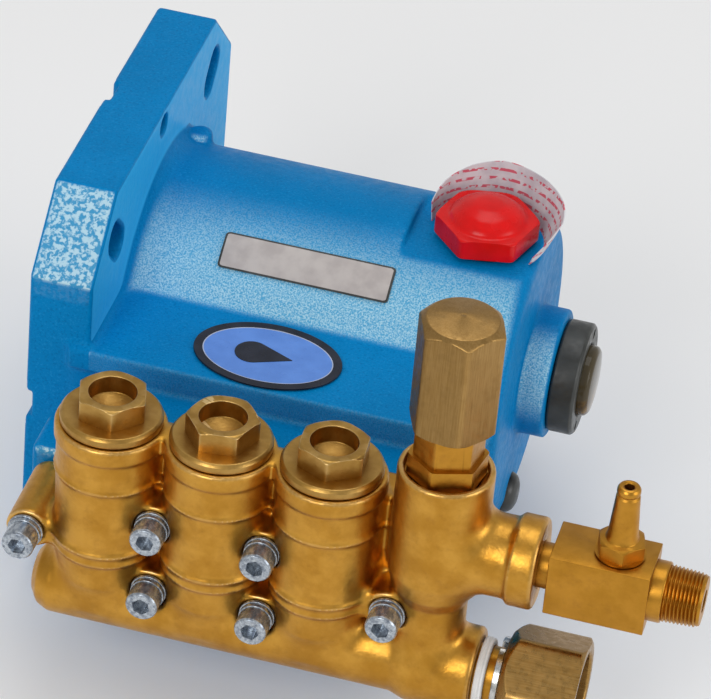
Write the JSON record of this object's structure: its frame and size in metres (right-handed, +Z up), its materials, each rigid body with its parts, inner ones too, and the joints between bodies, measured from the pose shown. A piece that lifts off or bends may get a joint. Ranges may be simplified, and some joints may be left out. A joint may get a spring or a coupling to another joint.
{
  "type": "pressure washer pump",
  "caption": "Triplex plunger pump with engine flange, brass manifold, adjustable unloader, oil gauge and swivel hose inlet.",
  "frame": {"origin": "crank axis at the face that bolts to the engine", "axes": "+X along the crank from the engine to the oil gauge, -Y towards the brass manifold, +Z up"},
  "size_m": [0.225, 0.2194, 0.174],
  "materials": {
    "case_paint": "speckled enamel",
    "forged_brass": "forged",
    "machined_brass": "machined",
    "machined_steel": "machined",
    "zinc_plate": "zinc plated",
    "stainless": "turned",
    "rod_alloy": "die cast",
    "plunger_ceramic": "ground",
    "seal_rubber": "matt",
    "red_plastic": "glossy",
    "bezel_black": "satin",
    "gauge_glass": "clear over amber oil",
    "tag_paper": "matt",
    "plate_foil": "satin foil",
    "badge_blue": "glossy label",
    "thread_tape": "wrapped tape"
  },
  "bodies": {
    "case": {"crankcase": "case_paint", "rear_cover": "case_paint", "manifold": "forged_brass", "valve_plug_1": "forged_brass", "valve_plug_2": "forged_brass", "valve_plug_3": "forged_brass", "unloader_retainer": "machined_brass", "injector_body": "machined_brass", "hose_barb": "machined_brass", "inlet_stem": "machined_brass", "bearing_engine": "machined_steel", "bearing_far": "machined_steel", "rear_screw_1": "zinc_plate", "rear_screw_2": "zinc_plate", "rear_screw_3": "zinc_plate", "rear_screw_4": "zinc_plate", "manifold_screw_1": "zinc_plate", "manifold_screw_2": "zinc_plate", "manifold_screw_3": "zinc_plate", "manifold_screw_4": "zinc_plate", "manifold_screw_5": "zinc_plate", "manifold_screw_6": "zinc_plate", "snap_ring": "stainless", "shaft_seal": "seal_rubber", "seal_pack_1": "seal_rubber", "seal_pack_2": "seal_rubber", "seal_pack_3": "seal_rubber", "gauge_bezel": "bezel_black", "drain_plug": "bezel_black", "gauge_glass": "gauge_glass", "filler_tag": "tag_paper", "nameplate": "plate_foil", "badge": "badge_blue", "thread_tape": "thread_tape"},
    "crank": {"crankshaft": "machined_steel"},
    "rod_1": {"con_rod_1": "rod_alloy", "wrist_pin_1": "machined_steel"},
    "piston_1": {"crosshead_1": "machined_steel", "plunger_1": "plunger_ceramic"},
    "outlet_valve_1": {"discharge_valve_1": "stainless"},
    "suction_valve_1": {"inlet_valve_1": "stainless"},
    "rod_2": {"con_rod_2": "rod_alloy", "wrist_pin_2": "machined_steel"},
    "piston_2": {"crosshead_2": "machined_steel", "plunger_2": "plunger_ceramic"},
    "outlet_valve_2": {"discharge_valve_2": "stainless"},
    "suction_valve_2": {"inlet_valve_2": "stainless"},
    "rod_3": {"con_rod_3": "rod_alloy", "wrist_pin_3": "machined_steel"},
    "piston_3": {"crosshead_3": "machined_steel", "plunger_3": "plunger_ceramic"},
    "outlet_valve_3": {"discharge_valve_3": "stainless"},
    "suction_valve_3": {"inlet_valve_3": "stainless"},
    "relief_valve": {"unloader_stem": "stainless"},
    "adjuster": {"spring_seat": "machined_steel", "unloader_spring": "machined_steel"},
    "pressure_knob": {"pressure_cap": "machined_brass"},
    "cap_ring": {"oil_cap_seal": "seal_rubber"},
    "filler_cap": {"oil_cap": "red_plastic"},
    "hose_nut": {"swivel_nut": "forged_brass"}
  },
  "joints": [
    {"name": "crank_turn", "type": "hinge", "parent": "case", "child": "crank", "pos_m": [0.0768, 0, 0], "axis": [1, 0, 0], "continuous": true},
    {"name": "rod_1_orbit", "type": "hinge", "parent": "crank", "child": "rod_1", "pos_m": [0.0428, 0, 0.0041], "axis": [1, 0, 0], "continuous": true},
    {"name": "piston_1_stroke", "type": "slide", "parent": "case", "child": "piston_1", "axis": [0, -1, 0], "range_m": [-0.0041, 0.0041]},
    {"name": "outlet_valve_1_lift", "type": "slide", "parent": "case", "child": "outlet_valve_1", "axis": [0, 0, 1], "range_m": [0, 0.003], "stiffness_N_per_m": 400, "springref_m": -0.003},
    {"name": "suction_valve_1_lift", "type": "slide", "parent": "case", "child": "suction_valve_1", "axis": [0, 0, 1], "range_m": [0, 0.002], "stiffness_N_per_m": 250, "springref_m": -0.002},
    {"name": "rod_2_orbit", "type": "hinge", "parent": "crank", "child": "rod_2", "pos_m": [0.0768, 0.00355, -0.00205], "axis": [1, 0, 0], "continuous": true},
    {"name": "piston_2_stroke", "type": "slide", "parent": "case", "child": "piston_2", "axis": [0, -1, 0], "range_m": [-0.00055, 0.00765]},
    {"name": "outlet_valve_2_lift", "type": "slide", "parent": "case", "child": "outlet_valve_2", "axis": [0, 0, 1], "range_m": [0, 0.003], "stiffness_N_per_m": 400, "springref_m": -0.003},
    {"name": "suction_valve_2_lift", "type": "slide", "parent": "case", "child": "suction_valve_2", "axis": [0, 0, 1], "range_m": [0, 0.002], "stiffness_N_per_m": 250, "springref_m": -0.002},
    {"name": "rod_3_orbit", "type": "hinge", "parent": "crank", "child": "rod_3", "pos_m": [0.1108, -0.00355, -0.00205], "axis": [1, 0, 0], "continuous": true},
    {"name": "piston_3_stroke", "type": "slide", "parent": "case", "child": "piston_3", "axis": [0, -1, 0], "range_m": [-0.00765, 0.00055]},
    {"name": "outlet_valve_3_lift", "type": "slide", "parent": "case", "child": "outlet_valve_3", "axis": [0, 0, 1], "range_m": [0, 0.003], "stiffness_N_per_m": 400, "springref_m": -0.003},
    {"name": "suction_valve_3_lift", "type": "slide", "parent": "case", "child": "suction_valve_3", "axis": [0, 0, 1], "range_m": [0, 0.002], "stiffness_N_per_m": 250, "springref_m": -0.002},
    {"name": "relief_valve_lift", "type": "slide", "parent": "case", "child": "relief_valve", "axis": [0, 0, 1], "range_m": [0, 0.003], "stiffness_N_per_m": 4000, "springref_m": -0.004},
    {"name": "adjuster_rise", "type": "slide", "parent": "case", "child": "adjuster", "axis": [0, 0, 1], "range_m": [0, 0.0045], "deforming": ["unloader_spring"]},
    {"name": "pressure_knob_turn", "type": "hinge", "parent": "adjuster", "child": "pressure_knob", "pos_m": [0.1448, -0.1268, 0.09], "axis": [0, 0, 1], "range_deg": [0, 1080]},
    {"name": "cap_ring_rise", "type": "slide", "parent": "case", "child": "cap_ring", "axis": [0, 0, 1], "range_m": [0, 0.012]},
    {"name": "filler_cap_turn", "type": "hinge", "parent": "cap_ring", "child": "filler_cap", "pos_m": [0.126, 0, 0.05], "axis": [0, 0, 1], "range_deg": [0, 2160]},
    {"name": "hose_nut_turn", "type": "hinge", "parent": "case", "child": "hose_nut", "pos_m": [0.18, -0.1268, -0.0215], "axis": [1, 0, 0], "continuous": true}
  ],
  "couplings": [
    {"joint": "rod_1_orbit", "follows": "crank_turn", "ratio": -1},
    {"joint": "rod_2_orbit", "follows": "crank_turn", "ratio": -1},
    {"joint": "rod_3_orbit", "follows": "crank_turn", "ratio": -1},
    {"joint": "pressure_knob_turn", "follows": "adjuster_rise", "rad_per_m": 4188.8},
    {"joint": "filler_cap_turn", "follows": "cap_ring_rise", "rad_per_m": 3141.6}
  ]
}
